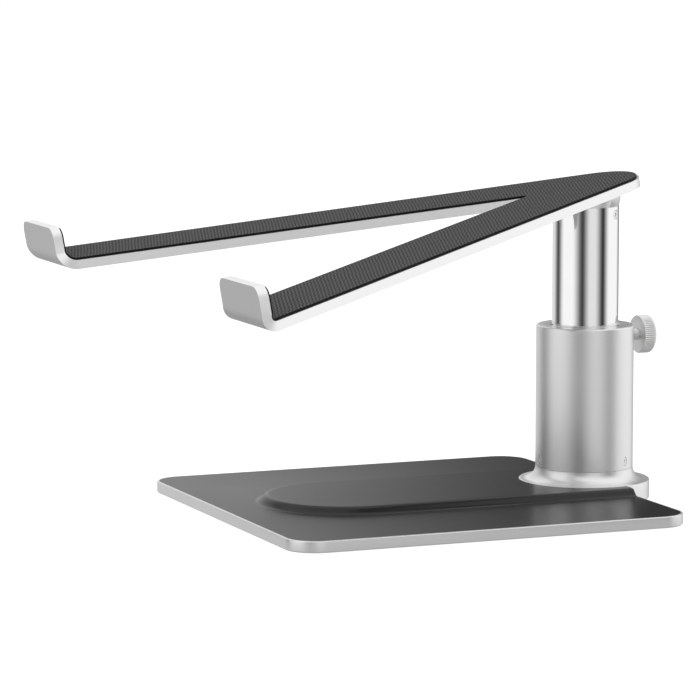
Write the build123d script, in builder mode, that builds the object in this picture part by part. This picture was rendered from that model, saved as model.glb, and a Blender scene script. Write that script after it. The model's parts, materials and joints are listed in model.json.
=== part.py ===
from build123d import *
import os
from math import cos, pi, radians, sin, tan

os.makedirs("parts", exist_ok=True)

# Height-adjustable laptop stand: a weighted square base, a sliding column and a V-shaped rest.
# Frame: origin on the table under the column's axis, +X to the user's right, +Y to the back, +Z up.
# All sizes in millimetres, shown with the column fully raised.

fit_gap = 0.05                # radial clearance of screws, studs and other fits
cut_over = 1.0                # how far a cutting shape runs past the faces it cuts

# Base plate
plate_side = 176.0
plate_back = 8.0              # from the column's axis to the plate's back edge
plate_corner_r = 13.0
plate_bottom = 0.4
plate_top = 5.2
plate_edge_break = 0.35
rim_width = 1.0               # bare metal left around the top skin
skin_thickness = 0.8
underside_inset = 4.0
underside_recess = 0.6
plate_centre_y = plate_back - plate_side / 2
recess_floor = plate_top - skin_thickness
underside_ceiling = plate_bottom + underside_recess

# Raised spine under the skin
spine_top = 8.2               # skin's top face, level with the column foot's flange
spine_half_width = 37.0       # skin's hump where it leaves the plate's level
spine_front_y = -111.0        # centre of the rounded front end
spine_slope = 45.0
spine_blend_r = 3.6
spine_bar_top = spine_top - skin_thickness
spine_bar_half_width = spine_half_width + skin_thickness * (1 - 1 / cos(radians(spine_slope)))
spine_screw_ys = (-52.0, -92.0, -132.0)

# Column foot
flange_r = 28.2
neck_blend_r = 5.5
foot_boss_r = 20.0            # the part that stands in the plate's cut-out
foot_floor = 4.6
foot_screw_circle_r = 24.0
foot_screw_angles = (-180, -120, -60, 0)
foot_pad_r = 18.0
spigot_r = 19.0
spigot_height = 9.5

# Sleeve
sleeve_r = 21.0
sleeve_bottom = spine_top + neck_blend_r
sleeve_top = 75.0
sleeve_chamfer = 0.7
sleeve_bore_r = 17.0
sleeve_lip = 2.2              # the in-turned top edge
sleeve_lip_bore_r = 14.6
bush_length = 10.0
key_width = 3.0
key_side_gap = 0.15
key_reach_r = 18.4
key_groove_r = 18.7
key_height = 3.5
key_inner_r = 14.6
foot_slot_r = 19.4            # the key's slot goes right through the foot's spigot

# Sliding tube
tube_r = 14.25
tube_wall = 2.25
tube_top = 126.2
tube_bore_r = tube_r - tube_wall
end_plug_bottom = 55.0
end_plug_flange = 1.5
end_plug_flange_r = 15.6
end_plug_depth = 6.0
end_plug_wall = 2.0
guide_ring_r = 16.92
guide_ring_height = 6.0
guide_seat_r = 13.6
tube_bottom = end_plug_bottom + end_plug_flange
bush_top = sleeve_top - sleeve_lip

# Thumbscrew, on the column's back
thumb_z = 69.5
stud_r = 2.5
stud_tip_chamfer = 0.5
insert_r = 3.2
insert_start = 16.4
insert_end = 20.6
clamp_pad_r = 3.0
clamp_pad_back = 15.35
knob_r = 8.25
knob_groove = 0.3
knob_teeth = 56
knob_start = 25.0
knob_thickness = 6.0
knob_corner_r = 1.8
stud_seat_depth = 4.5

# Set screws: radius, angles about the column measured from +X, height and length
set_screw_r = 2.0
set_screw_socket_r = 1.0
set_screw_socket_depth = 1.2
sleeve_screw_angles = (-90, 30, 150)
sleeve_screw_z = sleeve_bottom + 3.5
boss_screw_angles = (38, 218)
boss_screw_z = 122.8
set_screw_sink = 0.15         # how far the outer end lies below the surface
set_screw_stop = 0.4          # from the sleeve's bore to the inner end of its set screws
boss_screw_bite = 3.0         # how deep the boss's set screws go past the tube's wall

# V-shaped rest: measured along its own tilted plane, from where the column's axis meets the pad's top
arm_tilt = 9.9
arm_half_angle = 29.75
arm_pivot_z = 136.2
arm_apex_r = 22.7
arm_width = 36.8
arm_thickness = 4.0
arm_crotch_r = 1.5
pad_inset = 1.05
pad_thickness = 1.0
bend_start = 199.3
bend_inner_r = 3.8
bend_steps = 6
lip_top = 14.0                # above the pad's top face
lip_corner_r = 5.0
pad_lip_drop = 0.9            # from the lip's top edge to the pad's
arm_screw_circle_r = 7.5
arm_screw_count = 3

# Head boss, the wedge between tube and rest
boss_spigot_length = 14.0
boss_flare = 0.9              # how far the boss spreads where it meets the rest
boss_flare_height = 1.6
boss_flare_angle = 30.0

# Countersunk screws: shank radius, head radius, overall length
foot_screw = (1.5, 3.0, 6.2)
spine_screw = (2.0, 3.9, 5.8)
arm_screw = (2.0, 3.9, 12.0)
socket_share = 0.55           # hexagon recess radius as a share of the head's
socket_depth = 1.1


def save(builder, name):
    builder.part.label = name
    export_step(builder.part, f"parts/{name}.step")


def radial_plane(angle, height, reach=0.0):
    """Plane across a radial line of the column, its normal pointing outwards."""
    outward = (cos(radians(angle)), sin(radians(angle)), 0)
    along = (-sin(radians(angle)), cos(radians(angle)), 0)
    return Plane(origin=(reach * outward[0], reach * outward[1], height), x_dir=along, z_dir=outward)


def rounded_square(plane, inset):
    """The base plate's outline, drawn in by inset."""
    with BuildSketch(plane) as outline:
        with Locations((0, plate_centre_y)):
            RectangleRounded(plate_side - 2 * inset, plate_side - 2 * inset, plate_corner_r - inset)
    return outline.sketch


def spine_outline(plane, half_width):
    """A bar with a round front end that runs out past the plate's back edge."""
    with BuildSketch(plane) as outline:
        with Locations((0, spine_front_y)):
            Circle(half_width)
        with Locations((0, spine_front_y / 2 + plate_side / 4)):
            Rectangle(2 * half_width, plate_side / 2 - spine_front_y)
    return outline.sketch


def spine_section():
    """Half of the skin's hump in cross-section: flat top, slope and the blends at its two ends."""
    run = (spine_top - plate_top) / tan(radians(spine_slope))
    foot_x = spine_half_width + spine_blend_r
    with BuildSketch(Plane.XZ.offset(-spine_front_y)) as section:
        with BuildLine():
            FilletPolyline(
                (0, spine_top),
                (spine_half_width - run, spine_top),
                (spine_half_width, plate_top),
                (foot_x, plate_top),
                radius=spine_blend_r,
            )
            Polyline((foot_x, plate_top), (foot_x, recess_floor), (0, recess_floor), (0, spine_top))
        make_face()
    return section.sketch


def ring(r_inner, r_outer, low, high):
    """A plain ring about the column's axis."""
    with BuildPart() as part:
        with BuildSketch(Plane.XY.offset(low)):
            Circle(r_outer)
            Circle(r_inner, mode=Mode.SUBTRACT)
        extrude(amount=high - low)
    return part.part


def countersunk_screws(places, size):
    """Countersunk socket screws, heads at the places' origins and shanks along their +Z."""
    shank_r, head_r, length = size
    head_height = head_r - shank_r
    with BuildPart() as screws:
        for place in places:
            with BuildSketch(place):
                Circle(head_r)
            extrude(amount=head_height, taper=45)
            with BuildSketch(place):
                Circle(shank_r)
            extrude(amount=length)
            with BuildSketch(place):
                RegularPolygon(head_r * socket_share, 6)
            extrude(amount=socket_depth, mode=Mode.SUBTRACT)
    return screws


def countersunk_holes(places, size):
    """The clearance that countersunk_screws needs in the pieces they hold."""
    shank_r, head_r, length = size
    with BuildPart() as holes:
        for place in places:
            with BuildSketch(place):
                Circle(head_r + fit_gap)
            extrude(amount=head_r - shank_r, taper=45)
            with BuildSketch(place):
                Circle(shank_r + fit_gap)
            extrude(amount=length + 2 * fit_gap)
    return holes.part


def set_screws(angles, height, r_inner, r_outer):
    """Hexagon socket set screws, radial to the column."""
    with BuildPart() as screws:
        for angle in angles:
            with BuildSketch(radial_plane(angle, height, r_inner)):
                Circle(set_screw_r)
            extrude(amount=r_outer - r_inner)
            with BuildSketch(radial_plane(angle, height, r_outer)):
                RegularPolygon(set_screw_socket_r, 6)
            extrude(amount=-set_screw_socket_depth, mode=Mode.SUBTRACT)
    return screws


def radial_holes(angles, height, radius, r_inner, r_outer):
    """Round holes through a wall, radial to the column."""
    with BuildPart() as holes:
        for angle in angles:
            with BuildSketch(radial_plane(angle, height, r_inner)):
                Circle(radius)
            extrude(amount=r_outer - r_inner)
    return holes.part


# Where the base's screws stand, heads up in the underside's recess
foot_screw_places = [
    Plane(radial_plane(angle, underside_ceiling, foot_screw_circle_r).origin) for angle in foot_screw_angles
]
spine_screw_places = [Plane(origin=(0, y, underside_ceiling)) for y in spine_screw_ys]

# ---- Base ----

with BuildPart() as base_plate:
    extrude(rounded_square(Plane.XY.offset(plate_bottom), 0), amount=plate_top - plate_bottom)
    chamfer(base_plate.faces().sort_by(Axis.Z)[-1].edges(), plate_edge_break)
    chamfer(base_plate.faces().sort_by(Axis.Z)[0].edges(), plate_edge_break)
    extrude(
        rounded_square(Plane.XY.offset(recess_floor), rim_width),
        amount=skin_thickness,
        mode=Mode.SUBTRACT,
    )
    extrude(
        rounded_square(Plane.XY.offset(plate_bottom), underside_inset),
        amount=underside_recess,
        mode=Mode.SUBTRACT,
    )
    with BuildSketch(Plane.XY):
        Circle(foot_boss_r + fit_gap)
    extrude(amount=plate_top, mode=Mode.SUBTRACT)
    with BuildSketch(Plane.XY.offset(recess_floor)):
        Circle(flange_r + fit_gap)
    extrude(amount=skin_thickness, mode=Mode.SUBTRACT)
    add(countersunk_holes(foot_screw_places, foot_screw), mode=Mode.SUBTRACT)
    add(countersunk_holes(spine_screw_places, spine_screw), mode=Mode.SUBTRACT)
save(base_plate, "base_plate")

with BuildPart() as spine_blank:
    extrude(
        spine_outline(Plane.XY.offset(recess_floor), spine_bar_half_width),
        amount=spine_bar_top - recess_floor,
        taper=spine_slope,
    )
    with BuildSketch(Plane.XY.offset(recess_floor)):
        Circle(flange_r + fit_gap)
        with Locations((0, plate_back - rim_width - skin_thickness + plate_side / 2)):
            Rectangle(plate_side, plate_side)
    extrude(amount=spine_top, mode=Mode.SUBTRACT)

with BuildPart() as spine_bar:
    add(spine_blank.part)
    add(countersunk_holes(spine_screw_places, spine_screw), mode=Mode.SUBTRACT)
save(spine_bar, "spine_bar")

with BuildPart() as base_top_skin:
    hump_section = spine_section()
    extrude(hump_section, amount=spine_front_y - plate_back)
    extrude(mirror(hump_section, about=Plane.YZ, mode=Mode.PRIVATE), amount=spine_front_y - plate_back)
    revolve(hump_section, axis=Axis((0, spine_front_y, 0), (0, 0, 1)))
    with BuildSketch(Plane.XY.offset(recess_floor)):
        with Locations((0, plate_back - rim_width + plate_side / 2)):
            Rectangle(plate_side, plate_side)
    extrude(amount=spine_top, mode=Mode.SUBTRACT)
    extrude(rounded_square(Plane.XY.offset(recess_floor), rim_width), amount=skin_thickness)
    add(spine_blank.part, mode=Mode.SUBTRACT)
    with BuildSketch(Plane.XY.offset(recess_floor)):
        Circle(flange_r + fit_gap)
    extrude(amount=spine_top, mode=Mode.SUBTRACT)
save(base_top_skin, "base_top_skin")

with BuildPart() as underside_sheet:
    extrude(rounded_square(Plane.XY, underside_inset + fit_gap), amount=underside_ceiling)
    with BuildSketch(Plane.XY):
        Circle(foot_boss_r + fit_gap)
    extrude(amount=underside_ceiling, mode=Mode.SUBTRACT)
save(underside_sheet, "underside_sheet")

with BuildPart() as foot_pad:
    with BuildSketch(Plane.XY):
        Circle(foot_pad_r - fit_gap)
    extrude(amount=underside_ceiling)
save(foot_pad, "foot_pad")

save(countersunk_screws(spine_screw_places, spine_screw), "spine_screws")

# ---- Column ----

with BuildPart() as column_foot:
    with BuildSketch(Plane.XZ):
        with BuildLine():
            Polyline(
                (0, underside_ceiling),
                (foot_pad_r, underside_ceiling),
                (foot_pad_r, plate_bottom),
                (foot_boss_r, plate_bottom),
                (foot_boss_r, recess_floor),
                (flange_r, recess_floor),
                (flange_r, spine_top),
                (sleeve_r + neck_blend_r, spine_top),
            )
            RadiusArc((sleeve_r + neck_blend_r, spine_top), (sleeve_r, sleeve_bottom), neck_blend_r)
            Polyline(
                (sleeve_r, sleeve_bottom),
                (spigot_r, sleeve_bottom),
                (spigot_r, sleeve_bottom + spigot_height),
                (sleeve_bore_r, sleeve_bottom + spigot_height),
                (sleeve_bore_r, foot_floor),
                (0, foot_floor),
                (0, underside_ceiling),
            )
        make_face()
    revolve(axis=Axis.Z)
    with BuildSketch(Plane.XY.offset(plate_bottom)):
        Circle(flange_r)
        Circle(foot_boss_r - cut_over, mode=Mode.SUBTRACT)
        with Locations((0, plate_back + fit_gap - flange_r)):
            Rectangle(2 * flange_r, 2 * flange_r, mode=Mode.SUBTRACT)
    extrude(amount=recess_floor - plate_bottom)
    add(countersunk_holes(foot_screw_places, foot_screw), mode=Mode.SUBTRACT)
    add(
        radial_holes(
            sleeve_screw_angles,
            sleeve_screw_z,
            set_screw_r + fit_gap,
            sleeve_bore_r - cut_over,
            spigot_r + cut_over,
        ),
        mode=Mode.SUBTRACT,
    )
    with BuildSketch(Plane.XY.offset(foot_floor)):
        with Locations((-foot_slot_r / 2, 0)):
            Rectangle(foot_slot_r, key_width + 2 * key_side_gap)
    extrude(amount=sleeve_top, mode=Mode.SUBTRACT)
save(column_foot, "column_foot")

save(countersunk_screws(foot_screw_places, foot_screw), "foot_screws")

with BuildPart() as sleeve:
    with BuildSketch(Plane.XZ):
        with BuildLine():
            Polyline(
                (spigot_r + 2 * fit_gap, sleeve_bottom),
                (sleeve_r, sleeve_bottom),
                (sleeve_r, sleeve_top - sleeve_chamfer),
                (sleeve_r - sleeve_chamfer, sleeve_top),
                (sleeve_lip_bore_r, sleeve_top),
                (sleeve_lip_bore_r, bush_top),
                (sleeve_bore_r, bush_top),
                (sleeve_bore_r, sleeve_bottom + spigot_height + fit_gap),
                (spigot_r + 2 * fit_gap, sleeve_bottom + spigot_height + fit_gap),
                close=True,
            )
        make_face()
    revolve(axis=Axis.Z)
    add(
        radial_holes(
            sleeve_screw_angles,
            sleeve_screw_z,
            set_screw_r + fit_gap,
            sleeve_bore_r + set_screw_stop,
            sleeve_r + cut_over,
        ),
        mode=Mode.SUBTRACT,
    )
    add(
        radial_holes((90,), thumb_z, insert_r + fit_gap, tube_r + cut_over, sleeve_r + cut_over),
        mode=Mode.SUBTRACT,
    )
    with BuildSketch(Plane.XY.offset(sleeve_bottom)):
        with Locations((-key_groove_r / 2, 0)):
            Rectangle(key_groove_r, key_width + 2 * key_side_gap)
    extrude(amount=bush_top - bush_length - sleeve_bottom, mode=Mode.SUBTRACT)
save(sleeve, "sleeve")

with BuildPart() as sleeve_set_screws:
    add(
        set_screws(
            sleeve_screw_angles,
            sleeve_screw_z,
            sleeve_bore_r + set_screw_stop,
            sleeve_r - set_screw_sink,
        ).part
    )
save(sleeve_set_screws, "sleeve_set_screws")

with BuildPart() as guide_bush:
    add(ring(tube_r + fit_gap, sleeve_bore_r - fit_gap, bush_top - bush_length, bush_top))
    add(radial_holes((90,), thumb_z, insert_r + fit_gap, tube_r - cut_over, sleeve_r), mode=Mode.SUBTRACT)
save(guide_bush, "guide_bush")

# ---- Clamp: insert, thumbscrew and the pad it presses on the tube ----

with BuildPart() as threaded_insert:
    with BuildSketch(radial_plane(90, thumb_z, insert_start)):
        Circle(insert_r)
        Circle(stud_r + fit_gap, mode=Mode.SUBTRACT)
    extrude(amount=insert_end - insert_start)
save(threaded_insert, "threaded_insert")

with BuildPart() as clamp_pad:
    with BuildSketch(radial_plane(90, thumb_z, tube_r - cut_over)):
        Circle(clamp_pad_r)
    extrude(amount=clamp_pad_back - tube_r + cut_over)
    with BuildSketch(Plane.XY):
        Circle(tube_r + fit_gap)
    extrude(amount=sleeve_top, mode=Mode.SUBTRACT)
save(clamp_pad, "clamp_pad")

with BuildPart() as thumbscrew_stud:
    with BuildSketch(radial_plane(90, thumb_z, clamp_pad_back + fit_gap)):
        Circle(stud_r)
    extrude(amount=knob_start + stud_seat_depth - clamp_pad_back - fit_gap)
    chamfer(thumbscrew_stud.faces().sort_by(Axis.Y)[0].edges(), stud_tip_chamfer)
save(thumbscrew_stud, "thumbscrew_stud")

with BuildPart() as thumbscrew_knob:
    knob_core_r = knob_r - knob_groove
    with BuildSketch(Plane.YZ):
        with Locations((knob_start + knob_thickness / 2, thumb_z + knob_core_r / 2)):
            half_disc = Rectangle(knob_thickness, knob_core_r)
        fillet(half_disc.vertices().group_by(Axis.Y)[-1].sort_by(Axis.X)[-1], knob_corner_r)
    revolve(axis=Axis((0, 0, thumb_z), (0, 1, 0)))
    knurl = []
    for k in range(2 * knob_teeth):
        reach = knob_r - knob_groove * (k % 2)
        turn = pi * k / knob_teeth
        knurl.append((reach * cos(turn), reach * sin(turn)))
    with BuildSketch(radial_plane(90, thumb_z, knob_start)):
        with BuildLine():
            Polyline(*knurl, close=True)
        make_face()
    extrude(amount=knob_thickness - knob_corner_r)
    with BuildSketch(radial_plane(90, thumb_z, knob_start)):
        Circle(stud_r + fit_gap)
    extrude(amount=stud_seat_depth, mode=Mode.SUBTRACT)
save(thumbscrew_knob, "thumbscrew_knob")

# ---- Sliding head: tube with its guides ----

with BuildPart() as lift_tube:
    add(ring(tube_bore_r, tube_r, tube_bottom, tube_top))
    seat_top = tube_bottom + guide_ring_height
    add(ring(guide_seat_r, tube_r + cut_over, tube_bottom, seat_top), mode=Mode.SUBTRACT)
    add(
        radial_holes(
            boss_screw_angles,
            boss_screw_z,
            set_screw_r + fit_gap,
            tube_bore_r - cut_over,
            tube_r + cut_over,
        ),
        mode=Mode.SUBTRACT,
    )
save(lift_tube, "lift_tube")

with BuildPart() as tube_end_plug:
    add(ring(tube_bore_r - end_plug_wall, end_plug_flange_r, end_plug_bottom, tube_bottom))
    add(ring(tube_bore_r - end_plug_wall, tube_bore_r - fit_gap, tube_bottom, tube_bottom + end_plug_depth))
save(tube_end_plug, "tube_end_plug")

with BuildPart() as guide_ring:
    add(ring(guide_seat_r + fit_gap, guide_ring_r, tube_bottom, tube_bottom + guide_ring_height))
    with BuildSketch(Plane.XY.offset(tube_bottom)):
        with Locations((-guide_ring_r, 0)):
            Rectangle(2 * (guide_ring_r - key_inner_r), key_width)
    extrude(amount=key_height, mode=Mode.SUBTRACT)
save(guide_ring, "guide_ring")

with BuildPart() as slide_key:
    with BuildSketch(Plane.XY.offset(tube_bottom)):
        with Locations((-(key_inner_r + key_reach_r) / 2, 0)):
            Rectangle(key_reach_r - key_inner_r, key_width)
    extrude(amount=key_height)
save(slide_key, "slide_key")

# ---- Sliding head: the V-shaped rest ----

tilt = radians(arm_tilt)
half_angle = radians(arm_half_angle)
arm_plane = Plane(origin=(0, 0, arm_pivot_z), x_dir=(1, 0, 0), z_dir=(0, -sin(tilt), cos(tilt)))
arm_underside = arm_plane.offset(-pad_thickness - arm_thickness)
bend_height = bend_inner_r - pad_thickness       # the bend's centre above the pad's top face
bend_shift = (bend_inner_r + arm_thickness / 2) * pi / 2 * tan(half_angle)


def on_arm(plane):
    """A plane given in the rest's own tilted frame, placed in the stand's."""
    return Plane(arm_plane.location * plane.location)


def edge_x(offset, distance):
    """Half-width of a line that runs beside the arm, offset from the apex's centre."""
    return (offset + distance * sin(half_angle)) / cos(half_angle)


def arm_outline(plane, inset, crotch_r):
    """The V in its own plane, up to where the lips' bends start."""
    outer = arm_apex_r - inset
    inner = arm_apex_r - arm_width + inset
    tangent_point = (outer * cos(half_angle), outer * sin(half_angle))
    crotch_y = inner / sin(half_angle)
    with BuildSketch(plane) as outline:
        with BuildLine():
            RadiusArc((0, outer), tangent_point, outer)
            Polyline(
                tangent_point,
                (edge_x(outer, bend_start), -bend_start),
                (edge_x(inner, bend_start), -bend_start),
                (0, crotch_y),
                (0, outer),
            )
        make_face()
        mirror(about=Plane.YZ)
        fillet(outline.vertices().sort_by_distance((0, crotch_y))[0], crotch_r)
    return outline.sketch


def lip_bend(inset, r_inner, r_outer):
    """The right-hand quarter bend, whose sides follow the arm's slant as it turns up."""
    left = edge_x(arm_apex_r - arm_width + inset, bend_start)
    right = edge_x(arm_apex_r - inset, bend_start)
    with BuildPart() as bend:
        for step in range(bend_steps + 1):
            turn = step / bend_steps
            direction = (0, -cos(turn * pi / 2), sin(turn * pi / 2))
            section = Plane(origin=(0, -bend_start, bend_height), x_dir=(1, 0, 0), z_dir=direction)
            with BuildSketch(on_arm(section)):
                with Locations(((left + right) / 2 + turn * bend_shift, -(r_inner + r_outer) / 2)):
                    Rectangle(right - left, r_outer - r_inner)
        loft()
    return bend.part


def lip_wall(inset, r_inner, r_outer, top):
    """The right-hand lip above its bend, with rounded top corners."""
    left = edge_x(arm_apex_r - arm_width + inset, bend_start) + bend_shift
    right = edge_x(arm_apex_r - inset, bend_start) + bend_shift
    front = Plane(origin=(0, -bend_start - r_outer, bend_height), x_dir=(1, 0, 0), z_dir=(0, -1, 0))
    with BuildPart() as lip:
        with BuildSketch(on_arm(front)):
            with Locations(((left + right) / 2, (top - bend_height) / 2)):
                wall = Rectangle(right - left, top - bend_height)
            fillet(wall.vertices().group_by(Axis.Y)[-1], lip_corner_r - inset)
        extrude(amount=r_inner - r_outer)
    return lip.part


arm_screw_places = [
    on_arm(Plane(origin=(place.position.X, place.position.Y, -pad_thickness), z_dir=(0, 0, -1)))
    for place in PolarLocations(arm_screw_circle_r, arm_screw_count)
]

with BuildPart() as head_boss:
    with BuildSketch(Plane.XZ):
        with BuildLine():
            Polyline(
                (0, tube_top - boss_spigot_length),
                (tube_bore_r - fit_gap, tube_top - boss_spigot_length),
                (tube_bore_r - fit_gap, tube_top),
                (tube_r, tube_top),
                (tube_r, arm_pivot_z),
                (0, arm_pivot_z),
                close=True,
            )
        make_face()
    revolve(axis=Axis.Z)
    split(bisect_by=arm_underside, keep=Keep.BOTTOM)
    with BuildSketch(arm_underside):
        Circle(tube_r + boss_flare)
    extrude(amount=-boss_flare_height, taper=boss_flare_angle)
    add(
        radial_holes(
            boss_screw_angles,
            boss_screw_z,
            set_screw_r + fit_gap,
            tube_bore_r - boss_screw_bite,
            tube_r + cut_over,
        ),
        mode=Mode.SUBTRACT,
    )
    add(countersunk_holes(arm_screw_places, arm_screw), mode=Mode.SUBTRACT)
save(head_boss, "head_boss")

save(
    set_screws(boss_screw_angles, boss_screw_z, tube_bore_r - boss_screw_bite, tube_r - set_screw_sink),
    "boss_set_screws",
)

with BuildPart() as arm_plate:
    extrude(arm_outline(arm_plane.offset(-pad_thickness), 0, arm_crotch_r), amount=-arm_thickness)
    add(lip_bend(0, bend_inner_r, bend_inner_r + arm_thickness))
    add(lip_wall(0, bend_inner_r, bend_inner_r + arm_thickness, lip_top))
    mirror(about=Plane.YZ)
    add(countersunk_holes(arm_screw_places, arm_screw), mode=Mode.SUBTRACT)
save(arm_plate, "arm_plate")

save(countersunk_screws(arm_screw_places, arm_screw), "arm_screws")

with BuildPart() as arm_pad:
    extrude(arm_outline(arm_plane, pad_inset, arm_crotch_r + pad_inset), amount=-pad_thickness)
    add(lip_bend(pad_inset, bend_inner_r - pad_thickness, bend_inner_r))
    add(lip_wall(pad_inset, bend_inner_r - pad_thickness, bend_inner_r, lip_top - pad_lip_drop))
    mirror(about=Plane.YZ)
save(arm_pad, "arm_pad")
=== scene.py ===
import json
import math

import bmesh
import bpy
import numpy as np
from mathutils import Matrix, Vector


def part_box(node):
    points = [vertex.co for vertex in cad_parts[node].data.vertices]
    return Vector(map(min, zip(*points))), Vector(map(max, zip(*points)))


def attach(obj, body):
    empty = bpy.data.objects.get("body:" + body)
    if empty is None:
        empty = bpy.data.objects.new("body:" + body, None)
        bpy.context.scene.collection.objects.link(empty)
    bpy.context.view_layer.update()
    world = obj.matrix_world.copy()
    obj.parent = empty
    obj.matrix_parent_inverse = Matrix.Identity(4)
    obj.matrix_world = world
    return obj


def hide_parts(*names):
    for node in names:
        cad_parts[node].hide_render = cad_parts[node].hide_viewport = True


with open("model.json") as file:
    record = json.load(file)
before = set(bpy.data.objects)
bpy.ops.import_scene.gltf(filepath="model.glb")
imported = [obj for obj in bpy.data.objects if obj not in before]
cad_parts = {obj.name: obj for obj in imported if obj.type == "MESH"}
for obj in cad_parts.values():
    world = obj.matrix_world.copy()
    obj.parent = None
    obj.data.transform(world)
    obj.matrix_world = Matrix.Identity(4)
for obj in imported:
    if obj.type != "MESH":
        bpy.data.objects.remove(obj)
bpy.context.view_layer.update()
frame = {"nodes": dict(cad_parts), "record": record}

# Height-adjustable laptop stand: square base, sliding column and V-shaped rest.
# The shapes below are numpy surfaces in metres that stand for the frame's plain ones.

mm = 0.001
turn = 2 * math.pi
weldGap = 0.001 * mm      # points nearer than this are one point
tiny = 1e-9               # keeps a division away from zero
edgeRound = {"segments": 3, "fromAngle": math.radians(40)}
scene = bpy.context.scene


def gridFaces(rows, columns, closeRows=False, closeColumns=False):
    # quads between neighbouring rows and columns; a closed direction joins its last line to its first
    i, j = np.meshgrid(
        np.arange(rows if closeRows else rows - 1),
        np.arange(columns if closeColumns else columns - 1),
        indexing="ij",
    )
    nextI, nextJ = (i + 1) % rows, (j + 1) % columns
    corners = [i * columns + j, i * columns + nextJ, nextI * columns + nextJ, nextI * columns + j]
    return np.stack(corners, -1).reshape(-1, 4)


def closedTube(points):
    # quads round a stack of closed rings, with a cap on the first ring and on the last
    rows, columns = points.shape[:2]
    caps = [range(columns), range((rows - 1) * columns, rows * columns)]
    return gridFaces(rows, columns, closeColumns=True).tolist() + caps


def quarterRound(low, high, steps=4):
    # sines and cosines of angles from low to high degrees, for the arcs of a profile
    angle = np.radians(np.linspace(low, high, steps + 1))
    return np.sin(angle), np.cos(angle)


def atHeight(x, y, z):
    # points from whole arrays of x and y, at one height or one height a row
    return np.stack([x, y, np.full_like(x, z)], -1)


def lathePoints(radii, heights, angles):
    # a profile turned about the column's axis: x = r cos a, y = r sin a, z = h
    r = radii[:, None]
    return atHeight(r * np.cos(angles), r * np.sin(angles), heights[:, None])


def makePiece(name, points, faces, look, body, stoodFor, sharp=32, bevel=0.0):
    # a closed mesh from points and faces, cleaned, with its edges marked, on its body
    mesh = bpy.data.meshes.new(name)
    mesh.from_pydata(points.reshape(-1, 3).tolist(), [], faces)
    work = bmesh.new()
    work.from_mesh(mesh)
    bmesh.ops.remove_doubles(work, verts=work.verts, dist=weldGap)
    bmesh.ops.dissolve_degenerate(work, dist=weldGap, edges=work.edges)
    bmesh.ops.delete(work, geom=[v for v in work.verts if not v.link_faces], context="VERTS")
    bmesh.ops.recalc_face_normals(work, faces=work.faces)
    work.to_mesh(mesh)
    work.free()
    mesh.shade_smooth()
    mesh.set_sharp_from_angle(angle=math.radians(sharp))
    piece = bpy.data.objects.new(name, mesh)
    scene.collection.objects.link(piece)
    mesh.materials.append(look)
    if bevel:
        rounding = piece.modifiers.new("edges", "BEVEL")
        rounding.width = bevel
        rounding.segments = edgeRound["segments"]
        rounding.limit_method = "ANGLE"
        rounding.angle_limit = edgeRound["fromAngle"]
        rounding.harden_normals = True
    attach(piece, body)
    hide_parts(stoodFor)
    return piece


class Wire:
    # one output socket; sums, products and quotients of wires add Math nodes

    def __init__(self, look, socket):
        self.look = look
        self.socket = socket

    def math(self, operation, *others):
        return self.look.mathOf(operation, self, *others)

    def __add__(self, other):
        return self.math("ADD", other)

    def __radd__(self, other):
        return self.look.mathOf("ADD", other, self)

    def __sub__(self, other):
        return self.math("SUBTRACT", other)

    def __rsub__(self, other):
        return self.look.mathOf("SUBTRACT", other, self)

    def __mul__(self, other):
        return self.math("MULTIPLY", other)

    def __rmul__(self, other):
        return self.look.mathOf("MULTIPLY", other, self)

    def __truediv__(self, other):
        return self.math("DIVIDE", other)

    def __rtruediv__(self, other):
        return self.look.mathOf("DIVIDE", other, self)


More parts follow.
